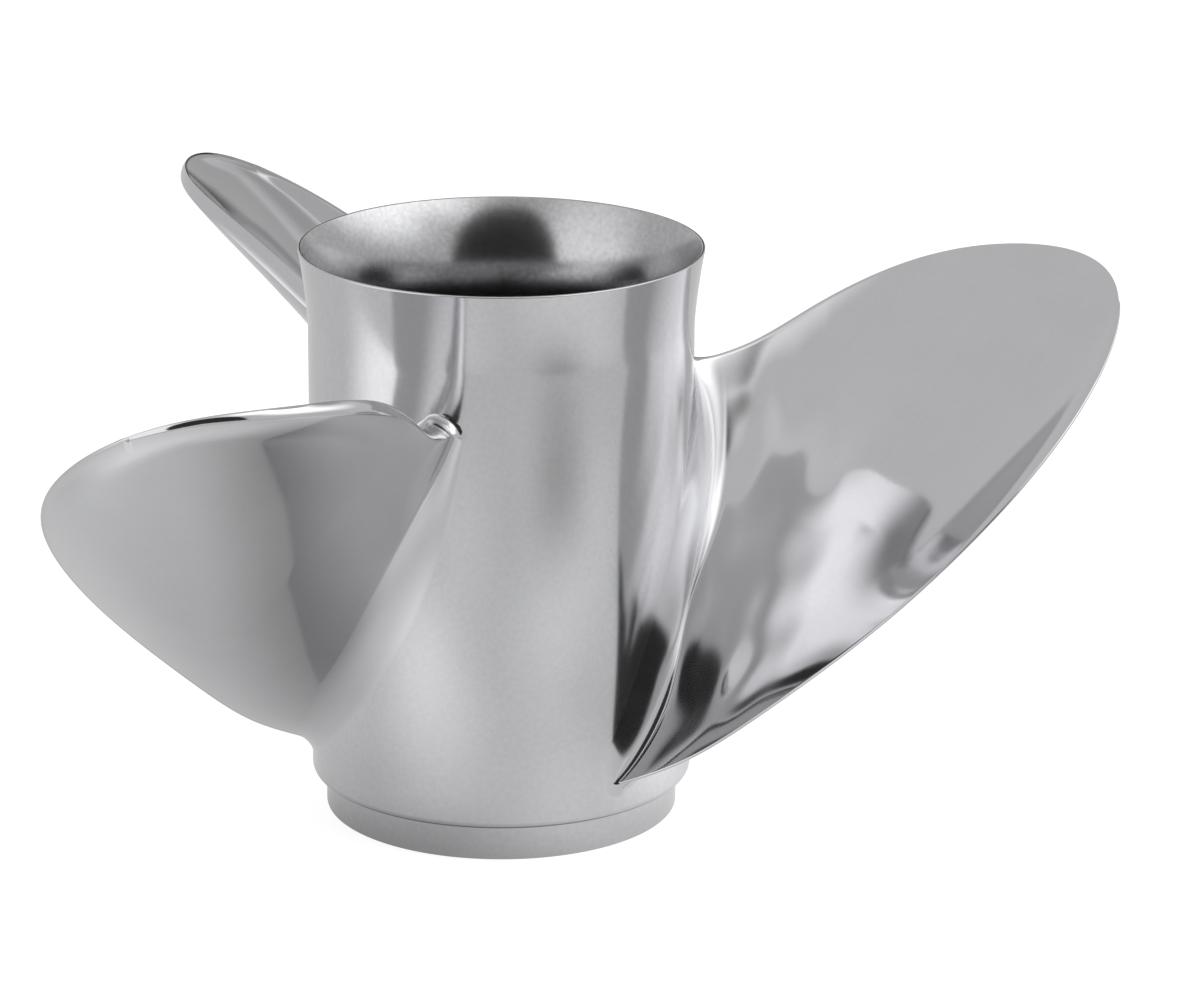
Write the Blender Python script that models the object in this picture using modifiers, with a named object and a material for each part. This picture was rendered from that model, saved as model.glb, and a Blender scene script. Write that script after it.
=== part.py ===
"""Three-bladed stainless outboard propeller that lets the exhaust out through its hub.

It stands on its forward end with the shaft along Z, so aft is up. The origin is on the shaft's
axis at the centroid of the solids. Lengths are metres, and heights in the named values are
measured from the forward face.
"""
from math import acos, cos, pi, radians, sin, sqrt
from typing import NamedTuple

import bmesh
import bpy
import numpy as np
from mathutils import Vector

# Running gap between pieces that touch
GAP = 0.0003

# Height of the origin, the centroid of the solids, above the forward face
ORIGIN_HEIGHT = 0.085

# Outer hub: the barrel, its flared rim and the spigot that enters the gearcase
BARREL_RADIUS = 0.060325
BARREL_WALL = 0.0040
HUB_LENGTH = 0.1827
FLARE_LENGTH = 0.0257
FLARE_GROWTH = 0.0031
FLARE_POWER = 1.5
FLARE_RINGS = 6
RIM_THICKNESS = 0.0016
SPIGOT_RADIUS = 0.0559
SPIGOT_HEIGHT = 0.0115
SPIGOT_BORE = 0.0515
SPIGOT_BORE_TOP = 0.0155
BORE_TAPER_TOP = 0.0235
SHOULDER_ROUNDING = 0.0022
SHOULDER_ANGLES = (0.0, pi / 6, pi / 3, pi / 2)
EDGE_BREAK = 0.0005
HUB_STEPS = 72

# Inner hub, carried inside the barrel by three ribs
INNER_HUB_RADIUS = 0.0340
INNER_HUB_BORE = 0.0298
INNER_HUB_BOTTOM = 0.0030
INNER_HUB_TOP = 0.1320
INNER_HUB_LIP = 0.0262
LIP_HEIGHT = 0.0060
INNER_STEPS = 60
RIB_THICKNESS = 0.0060
RIB_BOTTOM = 0.0250
RIB_TOP = 0.1240
RIB_ANGLES = (60.0, 180.0, 300.0)

# Rubber bushing and the brass sleeve bonded into it
BUSHING_BOTTOM = LIP_HEIGHT + INNER_HUB_BOTTOM + GAP
BUSHING_TOP = 0.1120
SLEEVE_RADIUS = 0.0178
SLEEVE_BOTTOM = 0.0060
SLEEVE_TOP = 0.1180
SPLINE_COUNT = 15
SPLINE_ROOT_RADIUS = 0.0142
SPLINE_TIP_RADIUS = 0.0126
SPLINE_ROOT_SHARES = (0.08, 0.42)
SPLINE_TIP_SHARES = (0.58, 0.92)

# Blades
BLADE_ANGLES = (0.0, 120.0, 240.0)
TIP_RADIUS = 0.1911
BLADE_COLUMNS = 20
BLADE_ROWS = 12
EDGE_STRIPS = 4
ROW_GRADING = 1.7
CAMBER_RATIO = 0.030
CUP_LENGTH = 0.013
CUP_LIFT = 0.0025
CUP_CHORD = 4 * CUP_LENGTH
ROOT_BULGE = 0.0065
TIP_BULGE = 0.0012
LEADING_THICKNESS = 0.0011
TRAILING_THICKNESS = 0.0076
TRAILING_TAPER = 0.0032
TIP_TAPER_POWER = 0.25
LEADING_ROUNDNESS = 1.0
TRAILING_ROUNDNESS = 0.3

# Least turn and squared width at which a section still has a chord, and the step along the
# edge for its direction
LEAST_TURN = radians(0.5)
LEAST_WIDTH = 1e-12
EDGE_STEP = radians(1.0)


class Station(NamedTuple):
    """A place on the blade's edge: its turn round the outline, -90 at the leading root, 0 at
    the tip and 90 at the trailing root, then its angle about the shaft and its height."""

    turn: float
    angle: float
    height: float


EDGE_STATIONS = (
    Station(-90, -54.2, 0.0226),
    Station(-81, -44.8, 0.0342),
    Station(-72, -37.4, 0.0509),
    Station(-54, -31.3, 0.0851),
    Station(-36, -24.1, 0.1195),
    Station(-18, -13.0, 0.1491),
    Station(0, -3.4, 0.1678),
    Station(18, 3.7, 0.1757),
    Station(36, 9.6, 0.1760),
    Station(54, 13.2, 0.1706),
    Station(72, 13.1, 0.1561),
    Station(81, 11.7, 0.1465),
    Station(90, 10.0, 0.1414),
)


class Fillet(NamedTuple):
    """Radius of the root's fillet at the leading end, at the trailing end, and what the middle
    of the chord adds to their mean."""

    lead: float
    trail: float
    swell: float

    def size(self, across):
        """Return the radius at a share of the chord."""
        round_swell = sqrt(max(0.0, 4 * across * (1 - across)))
        return self.lead + (self.trail - self.lead) * across + self.swell * round_swell


PRESSURE_FILLET = Fillet(0.0040, 0.0090, 0.0085)
SUCTION_FILLET = Fillet(0.0050, 0.0045, 0.0040)


class Finish(NamedTuple):
    """Colour, metallic value and roughness of a material."""

    name: str
    color: tuple
    metallic: float
    roughness: float


POLISHED_STEEL = Finish("polished_steel", (0.66, 0.66, 0.67), 1.0, 0.12)
SATIN_STEEL = Finish("satin_steel", (0.60, 0.60, 0.61), 1.0, 0.32)
RUBBER = Finish("black_rubber", (0.025, 0.025, 0.027), 0.0, 0.75)
BRASS = Finish("brass", (0.72, 0.53, 0.26), 1.0, 0.35)


# Scene, materials and objects
def clear_scene():
    """Remove what a new file holds."""
    for item in list(bpy.data.objects):
        bpy.data.objects.remove(item)


def make_material(finish):
    """Return a Principled material for a finish."""
    material = bpy.data.materials.new(finish.name)
    material.use_nodes = True
    shader = material.node_tree.nodes["Principled BSDF"]
    shader.inputs["Base Color"].default_value = (*finish.color, 1.0)
    shader.inputs["Metallic"].default_value = finish.metallic
    shader.inputs["Roughness"].default_value = finish.roughness
    return material


def add_object(name, mesh, finish, collection, parent):
    """Put a mesh in the collection under its parent, with its own material."""
    mesh.materials.append(make_material(finish))
    piece = bpy.data.objects.new(name, mesh)
    piece.parent = parent
    collection.objects.link(piece)
    return piece


def shade_round(mesh, angle=35.0):
    """Shade a mesh smooth, with edges sharper than the angle left crisp."""
    mesh.shade_smooth()
    mesh.set_sharp_from_angle(angle=radians(angle))


# Turned pieces
def turned_piece(name, profile, finish, collection, parent, steps=HUB_STEPS):
    """Turn a closed profile of (radius, height) points about Z."""
    mesh = bpy.data.meshes.new(name)
    points = [(radius, 0.0, height) for radius, height in profile]
    edges = [(i, (i + 1) % len(points)) for i in range(len(points))]
    mesh.from_pydata(points, edges, [])
    piece = add_object(name, mesh, finish, collection, parent)
    screw = piece.modifiers.new("turn", "SCREW")
    screw.axis = "Z"
    screw.angle = 2 * pi
    screw.steps = steps
    screw.render_steps = steps
    screw.use_merge_vertices = True
    screw.merge_threshold = 0.00001
    screw.use_smooth_shade = True
    return piece


def flare(height):
    """Return how far the barrel's outside stands out beyond its straight part."""
    rise = max(0.0, height - (HUB_LENGTH - FLARE_LENGTH)) / FLARE_LENGTH
    return FLARE_GROWTH * rise ** FLARE_POWER


def flare_heights():
    """Return heights from below the rim's edge down to where the flare starts."""
    top = HUB_LENGTH - EDGE_BREAK
    bottom = HUB_LENGTH - FLARE_LENGTH
    return [top + (bottom - top) * i / FLARE_RINGS for i in range(FLARE_RINGS + 1)]


def inner_radius(height):
    """Return the barrel's bore, whose wall thins towards the rim."""
    rise = max(0.0, height - (HUB_LENGTH - FLARE_LENGTH)) / FLARE_LENGTH
    wall = BARREL_WALL + (RIM_THICKNESS - BARREL_WALL) * rise
    return BARREL_RADIUS + flare(height) - wall


def barrel_profile():
    """Return the barrel's section, down its outside and up its bore."""
    outside = [(BARREL_RADIUS + flare(h), h) for h in flare_heights()]
    rounding_radius = BARREL_RADIUS - SHOULDER_ROUNDING
    rounding_height = SPIGOT_HEIGHT + SHOULDER_ROUNDING
    shoulder = [
        (rounding_radius + SHOULDER_ROUNDING * cos(a), rounding_height - SHOULDER_ROUNDING * sin(a))
        for a in SHOULDER_ANGLES
    ]
    spigot = [
        (SPIGOT_RADIUS, SPIGOT_HEIGHT),
        (SPIGOT_RADIUS, EDGE_BREAK),
        (SPIGOT_RADIUS - EDGE_BREAK, 0.0),
        (SPIGOT_BORE, 0.0),
    ]
    bore = [
        (SPIGOT_BORE, SPIGOT_BORE_TOP),
        (BARREL_RADIUS - BARREL_WALL, BORE_TAPER_TOP),
    ]
    inside = [(inner_radius(h), h) for h in reversed(flare_heights())]
    rim = [
        (inner_radius(HUB_LENGTH) + EDGE_BREAK, HUB_LENGTH),
        (BARREL_RADIUS + flare(HUB_LENGTH) - EDGE_BREAK, HUB_LENGTH),
    ]
    return outside + shoulder + spigot + bore + inside + rim


def make_barrel(collection, parent):
    """Make the outer hub with its flared rim and spigot."""
    turned_piece("hub_barrel", barrel_profile(), POLISHED_STEEL, collection, parent)


def make_inner_hub(collection, parent):
    """Make the inner hub, with the lip that stops the bushing at its forward end."""
    profile = [
        (INNER_HUB_RADIUS - EDGE_BREAK, INNER_HUB_TOP),
        (INNER_HUB_RADIUS, INNER_HUB_TOP - EDGE_BREAK),
        (INNER_HUB_RADIUS, INNER_HUB_BOTTOM + EDGE_BREAK),
        (INNER_HUB_RADIUS - EDGE_BREAK, INNER_HUB_BOTTOM),
        (INNER_HUB_LIP, INNER_HUB_BOTTOM),
        (INNER_HUB_LIP, INNER_HUB_BOTTOM + LIP_HEIGHT),
        (INNER_HUB_BORE, INNER_HUB_BOTTOM + LIP_HEIGHT),
        (INNER_HUB_BORE, INNER_HUB_TOP),
    ]
    turned_piece("inner_hub", profile, SATIN_STEEL, collection, parent, INNER_STEPS)


def make_bushing(collection, parent):
    """Make the rubber bushing pressed into the inner hub."""
    outer = INNER_HUB_BORE - GAP
    inner = SLEEVE_RADIUS + GAP
    profile = [
        (outer, BUSHING_TOP),
        (outer, BUSHING_BOTTOM),
        (inner, BUSHING_BOTTOM),
        (inner, BUSHING_TOP),
    ]
    turned_piece("rubber_bushing", profile, RUBBER, collection, parent, INNER_STEPS)


def spline_outline():
    """Return the sleeve's bore as points round one turn, four to a spline."""
    pitch = 2 * pi / SPLINE_COUNT
    corners = [(share, SPLINE_ROOT_RADIUS) for share in SPLINE_ROOT_SHARES]
    corners += [(share, SPLINE_TIP_RADIUS) for share in SPLINE_TIP_SHARES]
    return [
        (radius * cos(pitch * (i + share)), radius * sin(pitch * (i + share)))
        for i in range(SPLINE_COUNT)
        for share, radius in corners
    ]


def make_sleeve(collection, parent):
    """Make the brass sleeve, whose bore holds the splines for the shaft."""
    bore = spline_outline()
    scales = [SLEEVE_RADIUS / sqrt(x * x + y * y) for x, y in bore]
    outer = [(scale * x, scale * y) for scale, (x, y) in zip(scales, bore)]
    shape = bmesh.new()
    rings = [
        [shape.verts.new((x, y, height)) for x, y in outline]
        for outline, height in (
            (outer, SLEEVE_BOTTOM),
            (outer, SLEEVE_TOP),
            (bore, SLEEVE_TOP),
            (bore, SLEEVE_BOTTOM),
        )
    ]
    for ring, following in zip(rings, rings[1:] + rings[:1]):
        for i in range(len(ring)):
            j = (i + 1) % len(ring)
            shape.faces.new((ring[i], ring[j], following[j], following[i]))
    bmesh.ops.recalc_face_normals(shape, faces=shape.faces)
    mesh = bpy.data.meshes.new("splined_sleeve")
    shape.to_mesh(mesh)
    shape.free()
    add_object("splined_sleeve", mesh, BRASS, collection, parent)


def make_ribs(collection, parent):
    """Make the three ribs that carry the inner hub in the barrel."""
    inner = INNER_HUB_RADIUS + GAP
    bore = BARREL_RADIUS - BARREL_WALL - GAP
    outer = sqrt(bore ** 2 - (RIB_THICKNESS / 2) ** 2) * cos(pi / HUB_STEPS)
    size = Vector((outer - inner, RIB_THICKNESS, RIB_TOP - RIB_BOTTOM))
    middle = Vector(((outer + inner) / 2, 0.0, (RIB_TOP + RIB_BOTTOM) / 2))
    for number, angle in enumerate(RIB_ANGLES, start=1):
        shape = bmesh.new()
        bmesh.ops.create_cube(shape, size=1.0)
        bmesh.ops.scale(shape, vec=size, verts=shape.verts)
        bmesh.ops.translate(shape, vec=middle, verts=shape.verts)
        mesh = bpy.data.meshes.new(f"rib_{number}")
        shape.to_mesh(mesh)
        shape.free()
        rib = add_object(f"rib_{number}", mesh, SATIN_STEEL, collection, parent)
        rib.rotation_euler.z = radians(angle)


# Blades
class EdgeCurve:
    """Smooth curve through the blade's edge stations."""

    def __init__(self, stations):
        self.turns = np.array([radians(s.turn) for s in stations])
        self.values = np.array([(radians(s.angle), s.height) for s in stations])
        gaps = np.diff(self.turns)
        count = len(stations)
        matrix = np.eye(count)
        target = np.zeros((count, 2))
        for i in range(1, count - 1):
            matrix[i, i - 1:i + 2] = gaps[i - 1], 2 * (gaps[i - 1] + gaps[i]), gaps[i]
            rise = np.diff(self.values[i - 1:i + 2], axis=0) / gaps[i - 1:i + 1, None]
            target[i] = 6 * (rise[1] - rise[0])
        self.bends = np.linalg.solve(matrix, target)

    def at(self, turn):
        """Return the angle and the height at a turn in radians."""
        i = int(np.clip(np.searchsorted(self.turns, turn) - 1, 0, len(self.turns) - 2))
        gap = self.turns[i + 1] - self.turns[i]
        low = (self.turns[i + 1] - turn) / gap
        high = (turn - self.turns[i]) / gap
        bend = (low ** 3 - low) * self.bends[i] + (high ** 3 - high) * self.bends[i + 1]
        return low * self.values[i] + high * self.values[i + 1] + bend * gap ** 2 / 6


class Blade:
    """One blade, as a loft between its pressure face and its suction face."""

    def __init__(self):
        self.edge = EdgeCurve(EDGE_STATIONS)
        self.base = BARREL_RADIUS + GAP

    def radius(self, reach):
        """Return the radius at a reach of 0, the root, to 1, the tip."""
        return self.base + (TIP_RADIUS - self.base) * reach

    def section(self, reach):
        """Return the chord's ends on the unrolled cylinder, and the way out of the suction face."""
        radius = self.radius(reach)
        turn = min(acos(min(reach, 1.0)), pi / 2)
        turn = max(turn, LEAST_TURN)
        lead, trail = (self.edge.at(side * turn) * (radius, 1.0) for side in (-1, 1))
        along = (trail - lead) / np.linalg.norm(trail - lead)
        return lead, trail, along, np.array((along[1], -along[0]))

    def thickness(self, across, reach):
        """Return the blade's thickness, thin at the leading edge and thick at the trailing one."""
        taper = max(0.0, 1 - reach * reach) ** TIP_TAPER_POWER
        swing = (TRAILING_THICKNESS - LEADING_THICKNESS - TRAILING_TAPER * reach) * taper
        bulge = ROOT_BULGE + (TIP_BULGE - ROOT_BULGE) * reach
        return LEADING_THICKNESS + swing * across + 4 * bulge * across * (1 - across)

    def pressure_line(self, across, reach):
        """Return a point of the pressure face on the unrolled cylinder."""
        lead, trail, along, suction = self.section(reach)
        chord = np.linalg.norm(trail - lead)
        cup = CUP_LIFT * min(1.0, chord / CUP_CHORD)
        from_trail = chord * (1 - across)
        lift = cup * max(0.0, 1 - from_trail / CUP_LENGTH) ** 2 - cup * across
        sag = 4 * CAMBER_RATIO * chord * across * (1 - across)
        return lead + (trail - lead) * across + suction * (sag - lift)

    def fillet(self, across, height, side):
        """Return how far the root's fillet stands out at a height above the barrel."""
        share = (1 - cos(side)) / 2
        sizes = [fillet.size(across) for fillet in (SUCTION_FILLET, PRESSURE_FILLET)]
        size = sizes[0] + (sizes[1] - sizes[0]) * share
        if height >= size:
            return 0.0
        return size - sqrt(max(0.0, 2 * size * height - height * height))

    def place(self, flat, radius):
        """Roll a flat point onto the cylinder of its radius."""
        angle = flat[0] / radius
        return Vector((radius * cos(angle), radius * sin(angle), flat[1]))

    def point(self, across, reach, side):
        """Return a point of the surface: side is 0 on the suction face and pi on the pressure
        face, and lies between them round an edge."""
        radius = self.radius(reach)
        suction = self.section(reach)[3]
        half = self.thickness(across, reach) / 2
        middle = self.pressure_line(across, reach) + suction * half
        fillet = self.fillet(across, radius - self.base, side)
        flat = middle + suction * cos(side) * (half + fillet)
        if 0.0 < side < pi:
            return self.edge_point(flat, across, reach, side, half, fillet)
        return self.place(flat, radius)

    def edge_point(self, flat, across, reach, side, half, fillet):
        """Return a point of the edge between the two faces, rounded outwards."""
        radius = self.radius(reach)
        roundness = LEADING_ROUNDNESS + (TRAILING_ROUNDNESS - LEADING_ROUNDNESS) * across
        outward = self.outward(across, reach)
        angle = flat[0] / radius
        ray = Vector((cos(angle), sin(angle), 0.0))
        rolled = Vector((-sin(angle), cos(angle), 0.0))
        lift = outward.dot(ray) * min(1.0, (radius - self.base) / PRESSURE_FILLET.trail)
        bulge = (half * roundness + fillet) * sin(side)
        flat = flat + np.array((outward.dot(rolled), outward.z)) * bulge
        return self.place(flat * (1.0 + lift * bulge / radius, 1.0), radius + lift * bulge)

    def edge_middle(self, turn):
        """Return the middle of the edge at a turn round the outline."""
        reach = max(0.0, cos(turn))
        across = 0.0 if turn < 0 else 1.0
        radius = self.radius(reach)
        half = self.thickness(across, reach) / 2
        angle, height = self.edge.at(turn)
        middle = np.array((angle * radius, height)) + self.section(reach)[3] * half
        return self.place(middle, radius)

    def outward(self, across, reach):
        """Return the way out of the blade at an edge, square to the edge and the thickness."""
        turn = acos(min(reach, 1.0)) * (-1 if across < 0.5 else 1)
        low = max(-pi / 2, turn - EDGE_STEP)
        high = min(pi / 2, turn + EDGE_STEP)
        run = self.edge_middle(high) - self.edge_middle(low)
        suction = self.section(reach)[3]
        angle = self.edge.at(turn)[0]
        through = Vector((-sin(angle) * suction[0], cos(angle) * suction[0], suction[1]))
        return through.cross(run).normalized()

    def grid_place(self, column, row):
        """Map a grid place to the share across the chord and the reach, through a half disc."""
        x = 2 * column / BLADE_COLUMNS - 1
        y = (row / BLADE_ROWS) ** ROW_GRADING
        disc_x = x * sqrt(1 - y * y / 2)
        reach = y * sqrt(1 - x * x / 2)
        width = sqrt(max(LEAST_WIDTH, 1 - reach * reach))
        return min(1.0, max(0.0, (disc_x / width + 1) / 2)), reach

    def rim_places(self):
        """Return the grid places round the edge, from the leading root to the trailing root."""
        up = [(0, row) for row in range(BLADE_ROWS)]
        over = [(column, BLADE_ROWS) for column in range(BLADE_COLUMNS)]
        down = [(BLADE_COLUMNS, row) for row in range(BLADE_ROWS, -1, -1)]
        return up + over + down

    def rim_share(self, column, row):
        """Return the share and reach of an edge place, with the share at exactly 0 or 1."""
        across, reach = self.grid_place(column, row)
        return (0.0 if across < 0.5 else 1.0), reach

    def mesh(self, name):
        """Build the closed mesh of the blade."""
        shape = bmesh.new()
        rim = self.rim_places()
        faces = {}
        for side in (0.0, pi):
            for column in range(BLADE_COLUMNS + 1):
                for row in range(BLADE_ROWS + 1):
                    across, reach = self.grid_place(column, row)
                    faces[side, column, row] = shape.verts.new(self.point(across, reach, side))
            for column in range(BLADE_COLUMNS):
                for row in range(BLADE_ROWS):
                    steps = ((0, 0), (1, 0), (1, 1), (0, 1))
                    shape.faces.new([faces[side, column + i, row + j] for i, j in steps])
        bands = []
        for place in rim:
            across, reach = self.rim_share(*place)
            between = [
                shape.verts.new(self.point(across, reach, pi * k / EDGE_STRIPS))
                for k in range(1, EDGE_STRIPS)
            ]
            bands.append([faces[0.0, *place], *between, faces[pi, *place]])
        self.join_bands(shape, bands)
        self.join_bands(shape, self.root_bands(shape, faces, bands))
        bmesh.ops.recalc_face_normals(shape, faces=shape.faces)
        mesh = bpy.data.meshes.new(name)
        shape.to_mesh(mesh)
        shape.free()
        shade_round(mesh)
        return mesh

    def join_bands(self, shape, bands):
        """Join rows of points that run across the thickness."""
        for near, far in zip(bands, bands[1:]):
            for k in range(EDGE_STRIPS):
                shape.faces.new((near[k], far[k], far[k + 1], near[k + 1]))

    def root_bands(self, shape, faces, bands):
        """Return the rows of points that close the root against the barrel."""
        rows = [bands[0]]
        for column in range(1, BLADE_COLUMNS):
            ends = [faces[side, column, 0] for side in (0.0, pi)]
            low, high = (self.unroll(end.co) for end in ends)
            between = [
                shape.verts.new(self.place(low + (high - low) * k / EDGE_STRIPS, self.base))
                for k in range(1, EDGE_STRIPS)
            ]
            rows.append([ends[0], *between, ends[1]])
        return rows + [bands[-1]]

    def unroll(self, point):
        """Return a point of the barrel's surface on the unrolled cylinder."""
        return np.array((np.arctan2(point.y, point.x) * self.base, point.z))


def make_blades(collection, parent):
    """Make the three blades, which share one shape."""
    for number, angle in enumerate(BLADE_ANGLES, start=1):
        name = f"blade_{number}"
        blade = add_object(name, Blade().mesh(name), POLISHED_STEEL, collection, parent)
        blade.rotation_euler.z = radians(angle)


def main():
    """Build the propeller."""
    clear_scene()
    collection = bpy.data.collections.new("propeller")
    bpy.context.scene.collection.children.link(collection)
    parent = bpy.data.objects.new("shaft_axis", None)
    parent.location.z = -ORIGIN_HEIGHT
    collection.objects.link(parent)
    make_barrel(collection, parent)
    make_inner_hub(collection, parent)
    make_ribs(collection, parent)
    make_bushing(collection, parent)
    make_sleeve(collection, parent)
    make_blades(collection, parent)


if __name__ == "__main__":
    main()
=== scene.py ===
"""Looks of a polished stainless outboard propeller, standing on its forward end in a studio.

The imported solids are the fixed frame. The casting, the inner hub, its ribs, the rubber bushing
and the brass sleeve are made here in finer meshes that stand where those solids stand.
Lengths are metres. Heights in the named values are measured from the forward face.
"""

import logging
from collections.abc import Iterable
from dataclasses import dataclass
from enum import Enum
from math import cos, pi, radians, sin, sqrt, tan

import bmesh
import bpy
import numpy as np
from mathutils import Matrix, Vector


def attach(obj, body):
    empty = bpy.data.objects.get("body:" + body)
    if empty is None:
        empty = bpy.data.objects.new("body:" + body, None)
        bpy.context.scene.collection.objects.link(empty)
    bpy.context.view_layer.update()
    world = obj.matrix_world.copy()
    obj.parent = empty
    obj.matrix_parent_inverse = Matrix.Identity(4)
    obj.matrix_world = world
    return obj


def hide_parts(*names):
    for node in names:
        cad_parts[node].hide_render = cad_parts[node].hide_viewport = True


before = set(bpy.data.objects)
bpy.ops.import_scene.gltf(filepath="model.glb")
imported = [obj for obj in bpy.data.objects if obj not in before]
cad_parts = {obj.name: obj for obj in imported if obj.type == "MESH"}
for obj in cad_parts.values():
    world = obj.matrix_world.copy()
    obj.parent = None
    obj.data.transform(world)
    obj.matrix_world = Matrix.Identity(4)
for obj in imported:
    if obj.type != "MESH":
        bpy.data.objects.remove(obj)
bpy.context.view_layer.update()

log = logging.getLogger("propeller")

BODY = "root"
FORWARD_FACE = -0.085

# The hub, shared by its mesh, its finish, its ribs and the blades that stand on it
HUB_LENGTH = 0.1827
BARREL_RADIUS = 0.060325
BARREL_BORE = 0.056325
FLARE_LENGTH = 0.0257
FLARE_START = HUB_LENGTH - FLARE_LENGTH
FLARE_GROWTH = 0.0031
FLARE_POWER = 1.5
FOOT_GAP = 0.000003
BLADE_ANGLES = (0.0, 120.0, 240.0)
TINY = 1e-12

Triple = tuple[float, float, float]
Section = list[tuple[float, float]]
BLACK = (0.0, 0.0, 0.0, 1.0)
WHITE = (1.0, 1.0, 1.0, 1.0)


# Shader and geometry trees
class Value:
    """An output socket of a node tree, with the sums that the patterns use."""

    def __init__(self, tree: "NodeTree", socket: bpy.types.NodeSocket) -> None:
        """Keep the tree and the socket."""
        self.tree = tree
        self.socket = socket

    def math(self, operation: str, *others: "Value | float") -> "Value":
        """Return the result of a Math node on this value and others, in the order given."""
        return self.tree.math(operation, self, *others)

    def __add__(self, other: "Value | float") -> "Value":
        """Return the sum."""
        return self.math("ADD", other)

    def __sub__(self, other: "Value | float") -> "Value":
        """Return the difference."""
        return self.math("SUBTRACT", other)

    def __rsub__(self, other: float) -> "Value":
        """Return the difference, the other way round."""
        return self.tree.math("SUBTRACT", other, self)

    def __mul__(self, other: "Value | float") -> "Value":
        """Return the product."""
        return self.math("MULTIPLY", other)

    def __truediv__(self, other: "Value | float") -> "Value":
        """Return the quotient."""
        return self.math("DIVIDE", other)

    def __pow__(self, other: "Value | float") -> "Value":
        """Return the power."""
        return self.math("POWER", other)

    def __abs__(self) -> "Value":
        """Return the value without its sign."""
        return self.math("ABSOLUTE")

    __radd__ = __add__
    __rmul__ = __mul__

    def hypot(self, other: "Value") -> "Value":
        """Return the length of a way with these two parts, square to each other."""
        return (self * self + other * other).math("SQRT")

    def step(self, low: float, high: float) -> "Value":
        """Return a smooth rise from 0 at low to 1 at high."""
        inputs = {0: self, 1: low, 2: high, 3: 0.0, 4: 1.0}
        return self.tree.node("ShaderNodeMapRange", {"interpolation_type": "SMOOTHSTEP"}, inputs)


class NodeTree:
    """A node tree that is built with one method."""

    def __init__(self, tree: bpy.types.NodeTree) -> None:
        """Keep the tree."""
        self.tree = tree

    def node(
        self,
        kind: str,
        settings: dict[str, object] | None = None,
        inputs: dict[str | int, object] | None = None,
        output: str | int = 0,
    ) -> Value:
        """Add a node.

        Args:
            kind: The node's type.
            settings: Its properties, set first.
            inputs: Values or links of its sockets, by name or number.
            output: The output to return.

        Returns:
            The output.
        """
        made = self.tree.nodes.new(kind)
        for name, value in (settings or {}).items():
            setattr(made, name, value)
        self.fill(made, inputs or {})
        return Value(self, made.outputs[output]) if made.outputs else Value(self, None)

    def fill(self, made: bpy.types.Node, inputs: dict[str | int, object]) -> None:
        """Set or link a node's sockets.

        Args:
            made: The node.
            inputs: Values or links of its sockets, by name or number.
        """
        for name, value in inputs.items():
            if isinstance(value, Value):
                self.tree.links.new(value.socket, made.inputs[name])
            else:
                made.inputs[name].default_value = value

    def math(self, operation: str, *values: Value | float) -> Value:
        """Return the result of a Math node on values or numbers, in the order given."""
        return self.node("ShaderNodeMath", {"operation": operation}, dict(enumerate(values)))

    def place(self) -> Value:
        """Return the place on the piece, in object coordinates."""
        return self.node("ShaderNodeTexCoord", None, None, "Object")

    def noise(self, place: Value, scale: float, detail: float) -> Value:
        """Return fractal noise round 0, of a scale in waves to the metre and a detail in octaves."""
        inputs = {"Vector": place, "Scale": scale, "Detail": detail}
        return self.node("ShaderNodeTexNoise", {"noise_dimensions": "3D"}, inputs) - 0.5

    def stretched(self, place: Value, scale: Triple) -> Value:
        """Return a place stretched by factors along X, Y and Z."""
        return self.node("ShaderNodeVectorMath", {"operation": "MULTIPLY"}, {0: place, 1: scale})

    def parts(self, place: Value) -> tuple[Value, ...]:
        """Return the X, Y and Z of a place."""
        first = self.node("ShaderNodeSeparateXYZ", None, {0: place})
        return tuple(Value(self, output) for output in first.socket.node.outputs)

    def joined(self, x: Value | float, y: Value | float, z: Value | float) -> Value:
        """Return a place, or a colour, from its three numbers."""
        return self.node("ShaderNodeCombineXYZ", None, {0: x, 1: y, 2: z})

    def mix(self, share: Value, low: Triple, high: Triple) -> Value:
        """Return a colour between two, low at a share of 0 and high at 1."""
        inputs = {"Factor": share, 6: (*low, 1.0), 7: (*high, 1.0)}
        return self.node("ShaderNodeMix", {"data_type": "RGBA"}, inputs, 2)

    def shaded(self, color: Value, shade: Value) -> Value:
        """Return a colour times a shade."""
        inputs = {"Factor": 1.0, 6: color, 7: self.joined(shade, shade, shade)}
        return self.node("ShaderNodeMix", {"data_type": "RGBA", "blend_type": "MULTIPLY"}, inputs, 2)

    def bump(self, height: Value) -> Value:
        """Return the normal of a relief whose height is in metres."""
        return self.node("ShaderNodeBump", None, {"Strength": 1.0, "Distance": 1.0, "Height": height})


class Surface:
    """A new material with its node tree."""

    def __init__(self, name: str) -> None:
        """Make the material.

        Args:
            name: The material's name.
        """
        self.material = bpy.data.materials.new(name)
        self.material.use_nodes = True
        self.tree = NodeTree(self.material.node_tree)

    def dressed(self, inputs: dict[str, object]) -> bpy.types.Material:
        """Set or link the shader's sockets by name, and return the material."""
        self.tree.fill(self.material.node_tree.nodes["Principled BSDF"], inputs)
        return self.material

    def glowing(self, color: Value | tuple[float, ...]) -> bpy.types.Material:
        """Return the material with nothing but a glow, which isn't sampled as a light.

        Args:
            color: The glow's colour.

        Returns:
            The material.
        """
        inputs = {"Base Color": BLACK, "Roughness": 1.0, "Specular IOR Level": 0.0}
        self.dressed(inputs | {"Emission Color": color, "Emission Strength": 1.0})
        self.material.cycles.emission_sampling = "NONE"
        return self.material


# Finishes
class Slot(Enum):
    """Material slots of the part's record."""

    POLISHED = "polished_steel"
    SATIN = "satin_steel"
    RUBBER = "rubber"
    BRASS = "brass"


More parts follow.
